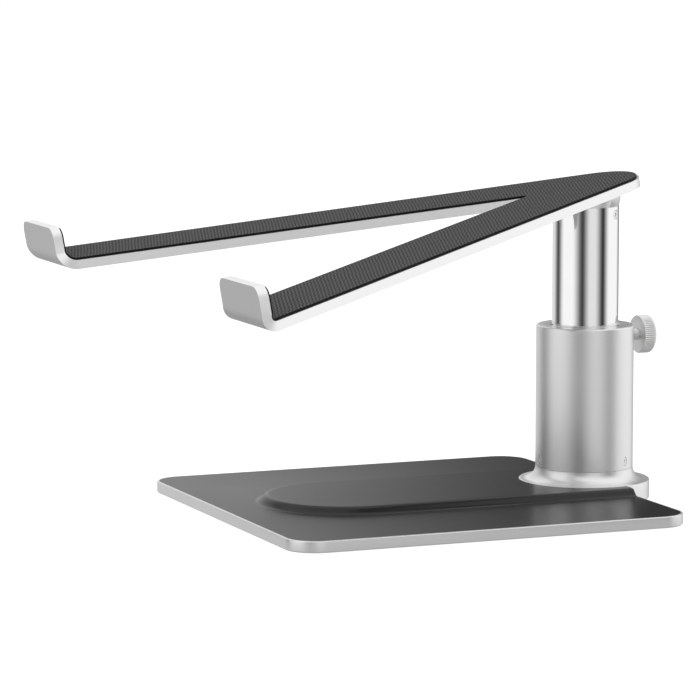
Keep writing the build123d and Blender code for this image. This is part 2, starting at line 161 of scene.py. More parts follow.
class Look:
    # a node tree of a material or the world, with one method that adds nodes

    def __init__(self, owner):
        owner.use_nodes = True
        self.owner = owner
        self.tree = owner.node_tree
        self.tree.nodes.clear()

    def node(self, kind, settings=None, sockets=None, output=0):
        made = self.tree.nodes.new(kind)
        for key, value in (settings or {}).items():
            if key == "stops":
                self.setStops(made.color_ramp, value)
            elif key == "between":
                made.color_ramp.interpolation = value
            else:
                setattr(made, key, value)
        for key, value in (sockets or {}).items():
            self.feed(made.inputs[key], value)
        return Wire(self, made.outputs[output]) if made.outputs else None

    def setStops(self, ramp, stops):
        # stops are (place, brightness) pairs in rising order
        while len(ramp.elements) < len(stops):
            ramp.elements.new(1.0)
        for element, (place, bright) in zip(ramp.elements, stops):
            element.position = place
            element.color = (bright, bright, bright, 1)

    def feed(self, socket, value):
        if isinstance(value, Wire):
            self.tree.links.new(value.socket, socket)
        else:
            socket.default_value = value

    def mathOf(self, operation, *values):
        return self.node("ShaderNodeMath", {"operation": operation}, dict(enumerate(values)))

    def blend(self, share, first, second):
        # a colour between first and second
        return self.node("ShaderNodeMix", {"data_type": "RGBA"}, {0: share, 6: first, 7: second}, 2)

    def tone(self, share, options):
        # a grey between the options' dark and light
        return self.blend(share, grey(options["dark"]), grey(options["light"]))

    def parts(self, vector):
        # a vector's three numbers
        return [self.node("ShaderNodeSeparateXYZ", {}, {"Vector": vector}, part) for part in range(3)]

    def ease(self, value, low, high):
        # 0 up to low, 1 from high on, smooth between them
        limits = {"Value": value, "From Min": low, "From Max": high}
        return self.node("ShaderNodeMapRange", {"interpolation_type": "SMOOTHSTEP"}, limits)

    def grain(self, place, scale, detail=2.0, stretch=(1, 1, 1)):
        # noise of a given number of grains per metre
        moved = self.node("ShaderNodeMapping", {}, {"Vector": place, "Scale": stretch})
        return self.node("ShaderNodeTexNoise", {}, {"Vector": moved, "Scale": scale, "Detail": detail})

    def place(self):
        return self.node("ShaderNodeTexCoord", output=3)

    def finish(self, fixed, changing, height=None, bumpDepth=0.0):
        # fixed holds plain values and changing holds links; height raises the surface by bumpDepth
        if height is not None:
            raised = {"Strength": 1.0, "Distance": bumpDepth, "Height": height}
            changing = {**changing, "Normal": self.node("ShaderNodeBump", {}, raised)}
        shader = self.node("ShaderNodeBsdfPrincipled", {}, {**fixed, **changing})
        self.node("ShaderNodeOutputMaterial", {}, {"Surface": shader})
        return self.owner


def grey(value):
    return (value, value, value, 1)


def mixed(first, second, share):
    # a share of the first wire and the rest of the second
    return first * share + second * (1 - share)


def newLook(name):
    return Look(bpy.data.materials.new(name))


def satinMetal(name, options):
    # blasted and anodised metal: fine grain in its bump, wide soft clouds in its roughness and tone;
    # with edge tones, the piece's cut-edge attribute is 1 on its bright cut edges and 0 elsewhere, and those
    # edges get a near-white, less metallic tone: partly a real cut finish, partly a painted highlight
    look = newLook(name)
    place = look.place()
    clouds = look.grain(place, options["cloudsPerMetre"], 3.0)
    fine = look.grain(place, options["grainsPerMetre"], 4.0)
    mottle = mixed(clouds, fine, options["cloudShare"])
    rough = (clouds + fine) * options["roughSpread"] + options["rough"]
    fixed = {"Metallic": options["metal"]}
    changing = {"Base Color": look.tone(mottle, options), "Roughness": rough}
    if "edge" in options:
        # cut edges: a near-white, less metallic tone, partly a real cut finish and partly a painted highlight
        edge = options["edge"]
        cut = look.node("ShaderNodeAttribute", {"attribute_name": "cutEdge"}, {}, 2)
        changing["Base Color"] = look.blend(cut, changing["Base Color"], look.tone(mottle, edge))
        changing["Metallic"] = options["metal"] - cut * (options["metal"] - edge["metal"])
    return look.finish(fixed, changing, fine, options["grainDepth"])


def brushedSteel(name, options):
    # fine lines along one direction over a plain steel tone
    look = newLook(name)
    place = look.place()
    lines = look.grain(place, options["linesPerMetre"], 3.0, options["stretch"])
    clouds = look.grain(place, options["cloudsPerMetre"], 2.0)
    rough = lines * options["roughSpread"] + options["rough"]
    tone = look.tone(mixed(lines, clouds, options["lineShare"]), options)
    changing = {"Base Color": tone, "Roughness": rough}
    return look.finish({"Metallic": options["metal"]}, changing, lines, options["lineDepth"])


def polishedChrome(name, options):
    # mirror plating with a faint haze and hairlines round the tube
    look = newLook(name)
    place = look.place()
    haze = look.grain(place, options["hazePerMetre"], 3.0)
    hairs = look.grain(place, options["hairsPerMetre"], 2.0, options["stretch"])
    rough = (haze + hairs) * options["roughSpread"] + options["rough"]
    changing = {"Base Color": look.tone(haze, options), "Roughness": rough}
    return look.finish({"Metallic": 1.0}, changing, hairs, options["hairDepth"])


def softCoat(name, options):
    # matt moulded skin: a fine pebble grain, slightly uneven in tone and sheen
    look = newLook(name)
    place = look.place()
    pebbles = look.node(
        "ShaderNodeTexVoronoi",
        {"feature": "SMOOTH_F1"},
        {"Vector": place, "Scale": options["pebblesPerMetre"], "Smoothness": options["pebbleSmoothness"]},
    )
    fine = look.grain(place, options["grainsPerMetre"], 3.0)
    clouds = look.grain(place, options["cloudsPerMetre"], 3.0)
    height = mixed(pebbles, fine, options["pebbleShare"])
    tone = look.tone(mixed(clouds, height, options["cloudShare"]), options)
    rough = (clouds + fine) * options["roughSpread"] + options["rough"]
    fixed, changing = {"Specular IOR Level": options["specular"]}, {"Base Color": tone, "Roughness": rough}
    return look.finish(fixed, changing, height, options["grainDepth"])


def wovenPad(name, options):
    # wavy ribs crossed by weaker threads, over the pad's own attribute weave (across, along, face):
    # height = 0.5 + strong sin(2 pi u / pitch + wave sin(2 pi v / waveLength)) + weak sin(2 pi v / pitch),
    # where u and v are along and across turned by the ribs' angle; off the face, on the pad's cut edges, the
    # colour is a near-black painted shade
    look = newLook(name)
    weave = look.node("ShaderNodeAttribute", {"attribute_name": "weave"}, {}, 1)
    across, along, facing = look.parts(weave)
    face = facing.math("GREATER_THAN", options["faceFrom"])
    wander = look.grain(look.place(), options["cloudsPerMetre"], 1.0)
    cosine, sine = math.cos(options["ribAngle"]), math.sin(options["ribAngle"])
    perMetre = turn / options["threadPitch"]
    slant = along * sine + across * cosine
    wave = (slant * (turn / options["waveLength"])).math("SINE") * options["waveHeight"]
    ribs = ((along * cosine - across * sine) * perMetre + wave + wander * options["wander"]).math("SINE")
    threads = (slant * perMetre).math("SINE")
    knots = ribs * options["ribShare"] + threads * (0.5 - options["ribShare"]) + 0.5
    fibre = look.grain(look.place(), options["fibresPerMetre"], 3.0)
    woven = look.tone(mixed(knots, fibre, options["knotTone"]), options)
    # off the woven face the pad's cut edges take the edge colour, a near-black painted shade
    tone = look.blend(face, grey(options["edge"]), woven)
    rough = options["rough"] - knots * options["roughSpread"]
    fixed, changing = {"Specular IOR Level": options["specular"]}, {"Base Color": tone, "Roughness": rough}
    height = mixed(knots, fibre, options["knotHeight"]) * face
    return look.finish(fixed, changing, height, options["threadDepth"])


def mouldedPlastic(name, options):
    # plain moulded or turned stock with a fine skin
    look = newLook(name)
    place = look.place()
    fine = look.grain(place, options["grainsPerMetre"], 3.0)
    tone = look.blend(fine, options["dark"], options["light"])
    changing = {"Base Color": tone, "Roughness": fine * options["roughSpread"] + options["rough"]}
    return look.finish({"Metallic": options["metal"]}, changing, fine, options["grainDepth"])


satin = {
    "dark": 0.87, "light": 0.92, "metal": 0.85, "rough": 0.31, "roughSpread": 0.05, "cloudShare": 0.7,
    "cloudsPerMetre": 60, "grainsPerMetre": 3200, "grainDepth": 0.006 * mm,
}
# the rest's edge tones paint its cut edges near-white: partly a real cut finish, partly a painted highlight
restSheet = {**satin, "dark": 0.60, "light": 0.66, "edge": {"dark": 0.94, "light": 0.97, "metal": 0.64}}
baseSteel = {
    "dark": 0.80, "light": 0.88, "metal": 0.85, "rough": 0.32, "roughSpread": 0.06, "stretch": (1, 1, 14),
    "lineShare": 0.5, "cloudsPerMetre": 50, "linesPerMetre": 900, "lineDepth": 0.004 * mm,
}
chrome = {
    "dark": 0.93, "light": 0.97, "rough": 0.015, "roughSpread": 0.02, "stretch": (0.02, 0.02, 1.0),
    "hazePerMetre": 120, "hairsPerMetre": 9000, "hairDepth": 0.0002 * mm,
}
skinCoat = {
    "dark": 0.007, "light": 0.012, "rough": 0.25, "roughSpread": 0.04, "specular": 0.36, "cloudShare": 0.6,
    "pebblesPerMetre": 2600, "pebbleSmoothness": 0.6, "pebbleShare": 0.7,
    "grainsPerMetre": 5200, "cloudsPerMetre": 30, "grainDepth": 0.012 * mm,
}
padWeave = {
    # edge is a near-black painted shade on the pad's cut edges
    "dark": 0.012, "light": 0.112, "edge": 0.006, "rough": 0.8, "roughSpread": 0.15, "specular": 0.2,
    "threadPitch": 1.4 * mm, "threadDepth": 0.2 * mm, "ribAngle": math.radians(19), "ribShare": 0.36,
    "waveLength": 7.0 * mm, "waveHeight": 0.9, "wander": 4.0, "fibresPerMetre": 4200, "cloudsPerMetre": 60,
    "knotTone": 0.9, "knotHeight": 0.85, "faceFrom": 0.97,
}
rubber = {
    "dark": grey(0.012), "light": grey(0.024), "metal": 0.0, "rough": 0.75, "roughSpread": 0.1,
    "grainsPerMetre": 1800, "grainDepth": 0.02 * mm,
}
bearingPlastic = {
    "dark": (0.55, 0.54, 0.50, 1), "light": (0.66, 0.65, 0.61, 1), "metal": 0.0, "rough": 0.45,
    "roughSpread": 0.1, "grainsPerMetre": 1500, "grainDepth": 0.01 * mm,
}
turnedBrass = {
    "dark": (0.58, 0.42, 0.16, 1), "light": (0.72, 0.54, 0.24, 1), "metal": 1.0, "rough": 0.25,
    "roughSpread": 0.1, "grainsPerMetre": 2600, "grainDepth": 0.006 * mm,
}
screwSteel = {
    **turnedBrass, "dark": (0.42, 0.42, 0.43, 1), "light": (0.56, 0.56, 0.57, 1), "rough": 0.3,
}

satinLook = satinMetal("satin_metal", satin)
sheetLook = satinMetal("rest_sheet", restSheet)
baseLook = brushedSteel("base_steel", baseSteel)
chromeLook = polishedChrome("polished_chrome", chrome)
skinLook = softCoat("matt_skin", skinCoat)
padLook = wovenPad("woven_pad", padWeave)
rubberLook = mouldedPlastic("rubber", rubber)
plasticLook = mouldedPlastic("bearing_plastic", bearingPlastic)
brassLook = mouldedPlastic("turned_brass", turnedBrass)
screwLook = mouldedPlastic("screw_steel", screwSteel)
print("materials ready")


plateLow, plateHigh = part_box("base_plate")
skinLow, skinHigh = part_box("base_top_skin")
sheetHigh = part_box("underside_sheet")[1]
footLow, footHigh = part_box("column_foot")
fitGap = 0.05 * mm

plate = {
    "cornerR": 13.0 * mm,
    "edgeR": 0.5 * mm,
    "bossR": 20.0 * mm,      # the foot's part that stands in the plate
    "cornerSteps": 14,
    "cutSteps": 72,
}
plateCentreY = (plateLow.y + plateHigh.y) / 2
rim = plateHigh.x - skinHigh.x
flangeR = footHigh.x


def plateLoop(inset, cutR, height):
    # a square with quarter-circle corners, its back edge cut by a circle of radius cutR about the column
    half = plateHigh.x - inset
    cornerR = plate["cornerR"] - inset
    quarter = np.linspace(0, turn / 4, plate["cornerSteps"] + 1)
    x, y = [], []
    for signX, signY, start in ((-1, 1, 0.25), (-1, -1, 0.5), (1, -1, 0.75), (1, 1, 0)):
        x.append(signX * (half - cornerR) + cornerR * np.cos(start * turn + quarter))
        y.append(plateCentreY + signY * (half - cornerR) + cornerR * np.sin(start * turn + quarter))
    lift = math.asin((plateHigh.y - inset) / cutR)
    cut = np.linspace(lift, -turn / 2 - lift, plate["cutSteps"] + 1)
    x.append(cutR * np.cos(cut))
    y.append(cutR * np.sin(cut))
    x, y = np.concatenate(x), np.concatenate(y)
    return atHeight(x, y, height)


def makeBasePlate():
    # profile of (inset, cut radius, height) carried round the plate's outline
    edgeR = plate["edgeR"]
    narrow, wide = plate["bossR"] + fitGap, flangeR + fitGap
    underInset = plateHigh.x - sheetHigh.x - fitGap
    sine, cosine = quarterRound(0, 90)
    profile = [(underInset, narrow, sheetHigh.z), (underInset, narrow, plateLow.z)]
    profile += [(edgeR * (1 - s), narrow, plateLow.z + edgeR * (1 - c)) for s, c in zip(sine, cosine)]
    profile += [(0, narrow, skinLow.z), (0, wide, skinLow.z)]
    profile += [(edgeR * (1 - c), wide, plateHigh.z - edgeR * (1 - s)) for s, c in zip(sine, cosine)]
    profile += [(rim, wide, plateHigh.z), (rim, wide, skinLow.z)]
    points = np.array([plateLoop(*station) for station in profile])
    makePiece("plate_body", points, closedTube(points), baseLook, "base", "base_plate")


makeBasePlate()
print("base plate ready")


skin = {
    "thickness": 0.8 * mm,
    "spineHalfWidth": 37.0 * mm,
    "spineEndY": -111.0 * mm,
    "blendR": 3.6 * mm,
    "plateauInset": 6.6 * mm,     # where the flat top starts, in from the spine's half width
    "edgeRounding": 0.22 * mm,
    "cornerSteps": 12,
    "sideSteps": 30,
    "endSteps": 180,
}


def spineStations():
    # places along the spine's outline: back corner, left side, round end, right side, back corner
    cornerAngle = np.linspace(turn / 4, 0, skin["cornerSteps"] + 1)
    side = np.linspace(0, 1, skin["sideSteps"] + 1)[1:]
    end = np.linspace(0, turn / 2, skin["endSteps"] + 1)[1:-1]
    return cornerAngle, side, end


def skinCurves():
    # spineCurve(s) gives the points at distance s from the spine's axis, outline() the skin's outer edge,
    # and flangeCurve() the edge round the foot, all with the same stations
    cornerAngle, side, end = spineStations()
    half = skinHigh.x
    cornerR = plate["cornerR"] - rim
    straightY = plateCentreY + half - cornerR
    endY = skin["spineEndY"]
    cornerY = straightY + cornerR * np.sin(cornerAngle)
    sideY = np.concatenate([cornerY, straightY + (endY - straightY) * side])

    def spineCurve(s):
        x = np.concatenate([np.full_like(sideY, -s), -s * np.cos(end), np.full_like(sideY, s)])
        y = np.concatenate([sideY, endY - s * np.sin(end), sideY[::-1]])
        return x, y

    def outline():
        sideX = np.concatenate([half - cornerR + cornerR * np.cos(cornerAngle), np.full_like(side, half)])
        dirX, dirY = -np.cos(end), -np.sin(end)
        frontRun = endY - (plateCentreY - half)
        reach = np.minimum(half / np.maximum(np.abs(dirX), tiny), frontRun / np.maximum(-dirY, tiny))
        cornerX = np.sign(dirX) * (half - cornerR)
        cornerY = plateCentreY - half + cornerR - endY      # the corner's centre, from the spine's end
        towards = dirX * cornerX + dirY * cornerY
        spare = towards ** 2 - cornerX ** 2 - cornerY ** 2 + cornerR ** 2
        inCorner = (np.abs(dirX * reach) > half - cornerR) & (dirY * reach < cornerY)
        reach = np.where(inCorner, towards + np.sqrt(np.maximum(spare, 0)), reach)
        x = np.concatenate([-sideX, dirX * reach, sideX[::-1]])
        y = np.concatenate([sideY, endY + dirY * reach, sideY[::-1]])
        return x, y

    def flangeCurve():
        x, y = spineCurve(skin["spineHalfWidth"] - skin["plateauInset"])
        cutR = flangeR + fitGap
        rise = np.arctan2(y, np.abs(x))
        backRise = math.asin(skinHigh.y / cutR)
        rise = np.where(rise > 0, rise * backRise / rise.max(), rise)
        return np.where(x < 0, -1, 1) * cutR * np.cos(rise), cutR * np.sin(rise)

    return spineCurve, outline, flangeCurve


def makeTopSkin():
    # section across the spine: flat top, arc, 45 degree slope, arc, flat, and back underneath
    spineCurve, outline, flangeCurve = skinCurves()
    top, floor, thick, r = skinHigh.z, plateHigh.z, skin["thickness"], skin["blendR"]
    tangent = r * math.tan(turn / 16)
    slopeTop = skin["spineHalfWidth"] - (top - floor)
    sine, cosine = quarterRound(0, 45, 8)
    section = [(slopeTop - tangent + r * s, top - r + r * c) for s, c in zip(sine, cosine)]
    foot = skin["spineHalfWidth"] + tangent
    section += [(foot - r * s, floor + r - r * c) for s, c in zip(sine[::-1], cosine[::-1])]
    inside = [(foot - (r + thick) * s, floor + r - (r + thick) * c) for s, c in zip(sine, cosine)]
    inside += [
        (slopeTop - tangent + (r - thick) * s, top - r + (r - thick) * c)
        for s, c in zip(sine[::-1], cosine[::-1])
    ]
    plateau = skin["spineHalfWidth"] - skin["plateauInset"]
    rows = [(flangeCurve(), top), (spineCurve(plateau), top)]
    rows += [(spineCurve(s), z) for s, z in section]
    rows += [(outline(), floor), (outline(), floor - thick)]
    rows += [(spineCurve(s), z) for s, z in inside]
    rows += [(spineCurve(plateau), top - thick), (flangeCurve(), top - thick)]
    points = np.array([atHeight(*curve, z) for curve, z in rows])
    count, columns = points.shape[:2]
    faces = gridFaces(count, columns, closeRows=True).tolist()
    firstEnd = np.arange(count) * columns
    faces += [firstEnd, firstEnd + columns - 1]
    rounding = skin["edgeRounding"]
    makePiece("top_skin", points, faces, skinLook, "base", "base_top_skin", bevel=rounding)


makeTopSkin()
print("top skin ready")


sleeveLow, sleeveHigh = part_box("sleeve")
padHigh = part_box("foot_pad")[1]

foot = {
    "edgeR": 0.45 * mm,
    "seam": 0.22 * mm,            # width and depth of the groove under the sleeve, and its shallow inner part
    "ledge": 0.044 * mm,
    "neckAngle": 84,              # how far the neck's hollow curve turns, in degrees
    "neckSteps": 14,
    "spigotR": 19.0 * mm,
    "boreR": 17.0 * mm,
    "floor": 4.6 * mm,
    "slotR": 18.7 * mm,
    "slotHalfWidth": 1.9 * mm,
    "backSteps": 96,
    "frontSteps": 144,
}


def makeColumnFoot():
    # a turned profile; below the skin it is the narrow boss in front, and the full flange only behind the
    # plate's back edge
    backLine = plateHigh.y + fitGap
    wideRise, narrowRise = math.asin(backLine / flangeR), math.asin(backLine / plate["bossR"])
    back = np.linspace(wideRise, turn / 2 - wideRise, foot["backSteps"] + 1)
    front = np.linspace(turn / 2, turn, foot["frontSteps"] + 1)
    share = np.linspace(-1, 1, front.size)
    highAngles = np.concatenate([back, front + share * wideRise])
    lowAngles = np.concatenate([back, front + share * narrowRise])
    lowR = np.concatenate([np.full_like(back, flangeR), np.full_like(front, plate["bossR"])])
    neckR = sleeveLow.z - skinHigh.z
    neckStart = sleeveHigh.x + neckR
    edgeR, seam, ledgeZ = foot["edgeR"], foot["seam"], sleeveLow.z - foot["ledge"]
    sine, cosine = quarterRound(0, 90)
    top = [(flangeR, skinLow.z)]
    top += [(flangeR - edgeR * (1 - c), skinHigh.z - edgeR * (1 - s)) for s, c in zip(sine, cosine)]
    sine, cosine = quarterRound(0, foot["neckAngle"], foot["neckSteps"])
    top += [(neckStart - neckR * s, sleeveLow.z - neckR * c) for s, c in zip(sine, cosine)]
    top += [
        (sleeveHigh.x, sleeveLow.z - seam),
        (sleeveHigh.x - seam, ledgeZ),
        (foot["spigotR"], ledgeZ),
        (foot["spigotR"], footHigh.z),
        (foot["boreR"], footHigh.z),
        (foot["boreR"], foot["floor"]),
    ]
    under = [(padHigh.x, padHigh.z), (padHigh.x, footLow.z)]
    x, y = lowR * np.cos(lowAngles), lowR * np.sin(lowAngles)
    lug = [atHeight(x, y, footLow.z), atHeight(x, y, skinLow.z)]
    low, high = (lathePoints(*np.array(profile).T, highAngles) for profile in (under, top))
    points = np.concatenate([low, lug, high])
    # slot down the bore on the -X side, where the slide key runs
    inSlot = (np.abs(np.sin(highAngles)) * foot["boreR"] < foot["slotHalfWidth"]) & (np.cos(highAngles) < 0)
    points[-2:, inSlot, :2] *= foot["slotR"] / foot["boreR"]
    makePiece("flanged_foot", points, closedTube(points), satinLook, "base", "column_foot")


makeColumnFoot()
print("column foot ready")


tubeLow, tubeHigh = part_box("lift_tube")
insertLow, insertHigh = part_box("threaded_insert")
sleeveScrewLow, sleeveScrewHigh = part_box("sleeve_set_screws")
bossScrewLow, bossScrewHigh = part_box("boss_set_screws")

sleeve = {
    "segments": 192,
    "chamfer": 0.7 * mm,
    "lip": 2.2 * mm,
    "lipR": 14.6 * mm,
    "lipEdge": 0.3 * mm,
    "seam": 0.2 * mm,
    "seamRise": 0.06 * mm,
    "rowShare": 0.98,         # spacing of the rows round the holes, as a share of the columns' spacing
    "plainRows": 8,
    "boreR": 17.0 * mm,
    "screwAngles": (270, 30, 150),
    "screwCells": 3,
    "screwWindow": 5,
    "insertAngle": 90,
    "insertCells": 5,
    "insertWindow": 7,
}
tube = {
    "segments": 180,
    "wall": 2.25 * mm,
    "seatR": 13.6 * mm,
    "seatHeight": 6.0 * mm,
    "edge": 0.15 * mm,
    "plainRows": 10,
    "screwAngles": (38, 218),
    "screwCells": 4,
    "screwWindow": 6,
}


def drillHoles(points, radii, heights, segments, holes):
    # each hole moves the grid's points near it from a square onto a circle, drops the faces inside,
    # and joins the wall's outer ring to its inner ring; shifts fade to nothing at the window's edge
    rows = len(radii)
    dropped = np.zeros((rows, segments), bool)
    walls = []
    for angle, height, holeR, cells, window, rowPair in holes:
        column = round(angle / 360 * segments)
        rings = []
        for row, way in zip(rowPair, (1, -1)):
            span = np.arange(-window, window + 1)
            i, j = np.meshgrid(span, span, indexing="ij")
            rowAt, columnAt = row + way * i, (column + j) % segments
            r = radii[rowAt]
            side, up = r * np.sin(j * turn / segments), heights[rowAt] - height
            ring = np.maximum(np.maximum(np.abs(i), np.abs(j)), 1)
            length = np.maximum(np.hypot(side, up), tiny)
            fade = np.clip(1 - (ring - cells) / (window - cells), 0, 1)
            newSide = side + (side / length * holeR - side * cells / ring) * fade
            newUp = up + (up / length * holeR - up * cells / ring) * fade
            at = np.radians(angle) + np.arcsin(np.clip(newSide / r, -1, 1))
            moved = np.stack([r * np.cos(at), r * np.sin(at), height + newUp], -1)
            outside = ring >= cells
            points[rowAt[outside], columnAt[outside]] = moved[outside]
            cellRow = np.minimum(rowAt[:-1, :-1], rowAt[1:, :-1])
            inside = np.maximum(np.abs(i[:-1, :-1] + 0.5), np.abs(j[:-1, :-1] + 0.5)) < cells
            dropped[cellRow[inside], columnAt[:-1, :-1][inside]] = True
            edge = np.arange(-cells, cells)
            ringI = np.concatenate([np.full_like(edge, -cells), edge, np.full_like(edge, cells), -edge])
            ringJ = np.concatenate([edge, np.full_like(edge, cells), -edge, np.full_like(edge, -cells)])
            rings.append((row + way * ringI) * segments + (column + ringJ) % segments)
        outer, inner = rings
        walls.append(np.stack([outer, np.roll(outer, -1), np.roll(inner, -1), inner], -1))
    faces = gridFaces(rows, segments, closeRows=True, closeColumns=True)
    return np.concatenate([faces[~dropped.reshape(-1)], *walls]).tolist()


def evenRows(height, window, spacing):
    return height + np.arange(-window, window + 1) * spacing


def radialHole(low, high):
    # the height of a radial screw's axis, and the radius of the hole it stands in
    return (low.z + high.z) / 2, (high.z - low.z) / 2 + fitGap


def rowsAt(heights, z):
    # a turned wall's outer and inner row at one height
    return tuple(np.flatnonzero(np.abs(heights - z) < weldGap)[[0, -1]])


def turnedWall(outside, inside, segments):
    # outer profile upwards, inner profile downwards, both about the column's axis
    radii, heights = np.array(outside + inside).T
    angles = np.arange(segments) * turn / segments
    return lathePoints(radii, heights, angles), radii, heights


def makeSleeve():
    outerR, cell = sleeveHigh.x, sleeveHigh.x * turn / sleeve["segments"]
    screwZ, screwHoleR = radialHole(sleeveScrewLow, sleeveScrewHigh)
    insertZ, insertHoleR = radialHole(insertLow, insertHigh)
    screwRows = evenRows(screwZ, sleeve["screwWindow"], cell * sleeve["rowShare"])
    insertRows = evenRows(insertZ, sleeve["insertWindow"], cell * sleeve["rowShare"])
    between = np.linspace(screwRows[-1], insertRows[0], sleeve["plainRows"] + 2)[1:-1]
    wallRows = np.concatenate([screwRows, between, insertRows])
    stepZ = footHigh.z + fitGap
    wideR = foot["spigotR"] + 2 * fitGap
    chamfer, seam, top = sleeve["chamfer"], sleeve["seam"], sleeveHigh.z
    little, more = 0.12 * chamfer, 0.55 * chamfer      # two points on the rounded top edge
    lipR, lipEdge = sleeve["lipR"], sleeve["lipEdge"]
    outside = [(outerR - seam, sleeveLow.z), (outerR, sleeveLow.z + sleeve["seamRise"])]
    outside += [(outerR, z) for z in wallRows]
    outside += [(outerR, top - chamfer), (outerR - little, top - more)]
    outside += [(outerR - more, top - little), (outerR - chamfer, top)]
    outside += [(lipR + lipEdge, top), (lipR, top - lipEdge)]
    outside += [(lipR, top - sleeve["lip"]), (sleeve["boreR"], top - sleeve["lip"])]
    inside = [(sleeve["boreR"], z) for z in wallRows[::-1] if z > stepZ]
    inside += [(sleeve["boreR"], stepZ), (wideR, stepZ)]
    inside += [(wideR, z) for z in wallRows[::-1] if z <= stepZ]
    inside += [(wideR, sleeveLow.z)]
    points, radii, heights = turnedWall(outside, inside, sleeve["segments"])
    # the slide key's slot carries on up the bore
    x, y = points[..., 0], points[..., 1]
    inSlot = (np.abs(y) < foot["slotHalfWidth"]) & (x < 0)
    inSlot &= np.abs(np.hypot(x, y) - sleeve["boreR"]) < weldGap
    points[inSlot, :2] *= foot["slotR"] / sleeve["boreR"]
    cells, window, rowPair = sleeve["screwCells"], sleeve["screwWindow"], rowsAt(heights, screwZ)
    holes = [(angle, screwZ, screwHoleR, cells, window, rowPair) for angle in sleeve["screwAngles"]]
    cells, window, rowPair = sleeve["insertCells"], sleeve["insertWindow"], rowsAt(heights, insertZ)
    holes.append((sleeve["insertAngle"], insertZ, insertHoleR, cells, window, rowPair))
    faces = drillHoles(points, radii, heights, sleeve["segments"], holes)
    makePiece("outer_sleeve", points, faces, satinLook, "base", "sleeve")


def makeTube():
    outerR, cell = tubeHigh.x, tubeHigh.x * turn / tube["segments"]
    screwZ, holeR = radialHole(bossScrewLow, bossScrewHigh)
    screwRows = evenRows(screwZ, tube["screwWindow"], cell)
    seatTop, edge, boreR = tubeLow.z + tube["seatHeight"], tube["edge"], outerR - tube["wall"]
    outside = [(tube["seatR"], tubeLow.z), (tube["seatR"], seatTop), (outerR, seatTop)]
    outside += [(outerR, z) for z in np.linspace(seatTop, screwRows[0], tube["plainRows"] + 2)[1:-1]]
    outside += [(outerR, z) for z in screwRows]
    outside += [(outerR, tubeHigh.z - edge), (outerR - edge, tubeHigh.z), (boreR, tubeHigh.z)]
    inside = [(boreR, z) for z in screwRows[::-1]] + [(boreR, tubeLow.z)]
    points, radii, heights = turnedWall(outside, inside, tube["segments"])
    cells, window, rowPair = tube["screwCells"], tube["screwWindow"], rowsAt(heights, screwZ)
    holes = [(angle, screwZ, holeR, cells, window, rowPair) for angle in tube["screwAngles"]]
    faces = drillHoles(points, radii, heights, tube["segments"], holes)
    makePiece("chrome_tube_wall", points, faces, chromeLook, "head", "lift_tube")


setScrew = {
    "radius": 2.0 * mm,
    "chamfer": 0.2 * mm,
    "socketR": 0.95 * mm,
    "socketDepth": 0.3 * mm,
    "socketTaper": 0.96,
    "sink": 0.15 * mm,            # how far a screw's outer end stands below the wall round it
    "shortOfBore": 0.4 * mm,
    "intoBoss": 3.0 * mm,
    "segments": 48,
}


def makeSetScrews(name, angles, low, high, wallR, innerR, body, stoodFor):
    # a peg for each angle, from innerR to just under the wall's surface at wallR, its socket a hexagon:
    # the hexagon's radius at angle a is r cos 30 / cos(a from the middle of its side)
    r, chamfer, end = setScrew["radius"], setScrew["chamfer"], wallR - setScrew["sink"]
    around = np.arange(setScrew["segments"]) * turn / setScrew["segments"]
    side = math.cos(turn / 12) / np.cos(around % (turn / 6) - turn / 12)
    hexagon = setScrew["socketR"] * side
    plain = np.ones_like(around)
    rings = [(r * plain, innerR), (r * plain, end - chamfer), ((r - chamfer) * plain, end)]
    rings += [(hexagon, end), (hexagon * setScrew["socketTaper"], end - setScrew["socketDepth"])]
    radii, out = np.array([ring[0] for ring in rings]), np.array([[ring[1]] for ring in rings])
    across, up = radii * np.cos(around), radii * np.sin(around) + (low.z + high.z) / 2
    out = np.broadcast_to(out, across.shape)
    oneFaces = closedTube(across)
    points, faces = [], []
    for count, angle in enumerate(np.radians(angles)):
        x = out * np.cos(angle) - across * np.sin(angle)
        y = out * np.sin(angle) + across * np.cos(angle)
        points.append(np.stack([x, y, up], -1).reshape(-1, 3))
        faces += [[corner + count * across.size for corner in face] for face in oneFaces]
    makePiece(name, np.concatenate(points), faces, satinLook, body, stoodFor, sharp=30)


makeSetScrews(
    "sleeve_screws", sleeve["screwAngles"], sleeveScrewLow, sleeveScrewHigh,
    sleeveHigh.x, sleeve["boreR"] + setScrew["shortOfBore"], "base", "sleeve_set_screws",
)
makeSetScrews(
    "boss_screws", tube["screwAngles"], bossScrewLow, bossScrewHigh,
    tubeHigh.x, tubeHigh.x - tube["wall"] - setScrew["intoBoss"], "head", "boss_set_screws",
)
makeSleeve()
makeTube()
print("sleeve and tube ready")


restMount = next(mount for mount in frame["record"]["mounts"] if mount["name"] == "laptop_rest")
restOrigin = Vector(restMount["pos_m"])
restNormal = Vector(restMount["axis"])
tilt = math.atan2(-restNormal.y, restNormal.z)
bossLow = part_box("head_boss")[0]

